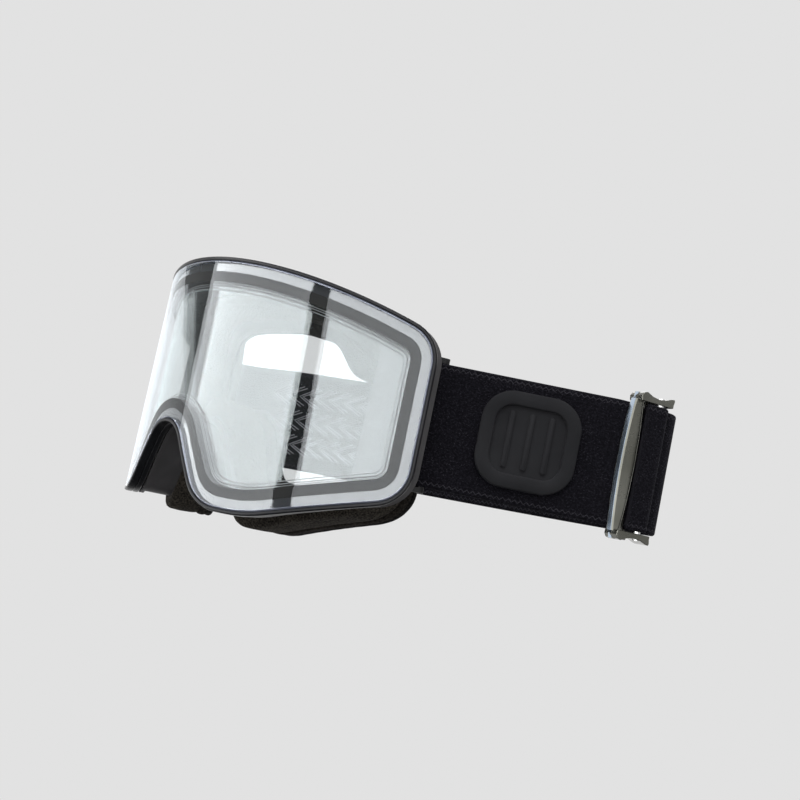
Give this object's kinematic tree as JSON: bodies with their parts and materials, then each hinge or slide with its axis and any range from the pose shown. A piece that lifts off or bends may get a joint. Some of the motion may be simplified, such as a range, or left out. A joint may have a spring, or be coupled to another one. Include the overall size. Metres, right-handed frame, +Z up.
{
  "type": "ski goggles",
  "caption": "Ski goggles with a wide clear cylindrical lens in a black lip, a foam-lined soft frame, hinged strap rings and an elastic strap with a buckle and rubber badges.",
  "frame": {"origin": "centre of the face seal, at the middle of the lens's height", "axes": "+X towards the wearer's left, +Y towards the wearer's face, +Z up"},
  "size_m": [0.2271, 0.137, 0.0971],
  "materials": {
    "clear_lens": "clear polycarbonate, glossy",
    "inner_clear_lens": "thin clear acetate, glossy",
    "gasket_foam": "closed-cell foam",
    "carrier_plastic": "satin black",
    "frame_tpu": "soft black, satin",
    "vent_foam": "open-cell foam",
    "face_foam": "soft foam with a brushed skin",
    "face_foam_dense": "dense foam",
    "fleece": "brushed fleece",
    "pin_steel": "polished pin",
    "ring_plastic": "black nylon",
    "webbing": "ribbed elastic webbing",
    "silicone": "glossy printed silicone",
    "badge_rubber": "matte moulded rubber",
    "buckle_plastic": "gunmetal metallic paint"
  },
  "bodies": {
    "goggle_frame": {"frame_shell": "frame_tpu", "vent_foam_top": "vent_foam", "vent_foam_left": "vent_foam", "vent_foam_right": "vent_foam", "face_foam_base": "face_foam", "face_foam_middle": "face_foam_dense", "face_fleece": "fleece", "ring_pin_left": "pin_steel", "ring_pin_right": "pin_steel", "strap_front": "webbing", "strap_back": "webbing", "strap_fold": "webbing", "strap_grip_print": "silicone", "badge_left": "badge_rubber", "badge_right": "badge_rubber"},
    "lens_unit": {"outer_lens": "clear_lens", "inner_lens": "inner_clear_lens", "lens_gasket": "gasket_foam", "lens_carrier": "carrier_plastic"},
    "left_ring": {"strap_ring_left": "ring_plastic", "strap_loop_left": "webbing"},
    "right_ring": {"strap_ring_right": "ring_plastic", "strap_loop_right": "webbing"},
    "slider": {"buckle": "buckle_plastic", "buckle_crossbar": "pin_steel", "strap_tail": "webbing"}
  },
  "joints": [
    {"name": "lens_release", "type": "slide", "parent": "goggle_frame", "child": "lens_unit", "axis": [0, -1, 0], "range_m": [0, 0.06]},
    {"name": "left_ring_hinge", "type": "hinge", "parent": "goggle_frame", "child": "left_ring", "pos_m": [0.0798, -0.0169, 0], "axis": [0, 0, 1], "range_deg": [-15, 18], "deforming": ["strap_loop_left"]},
    {"name": "right_ring_hinge", "type": "hinge", "parent": "goggle_frame", "child": "right_ring", "pos_m": [-0.0798, -0.0169, 0], "axis": [0, 0, 1], "range_deg": [-6, 35], "deforming": ["strap_loop_right"]},
    {"name": "buckle_slide", "type": "slide", "parent": "goggle_frame", "child": "slider", "axis": [0.1736, 0.9848, 0], "range_m": [-0.004, 0.004]}
  ]
}
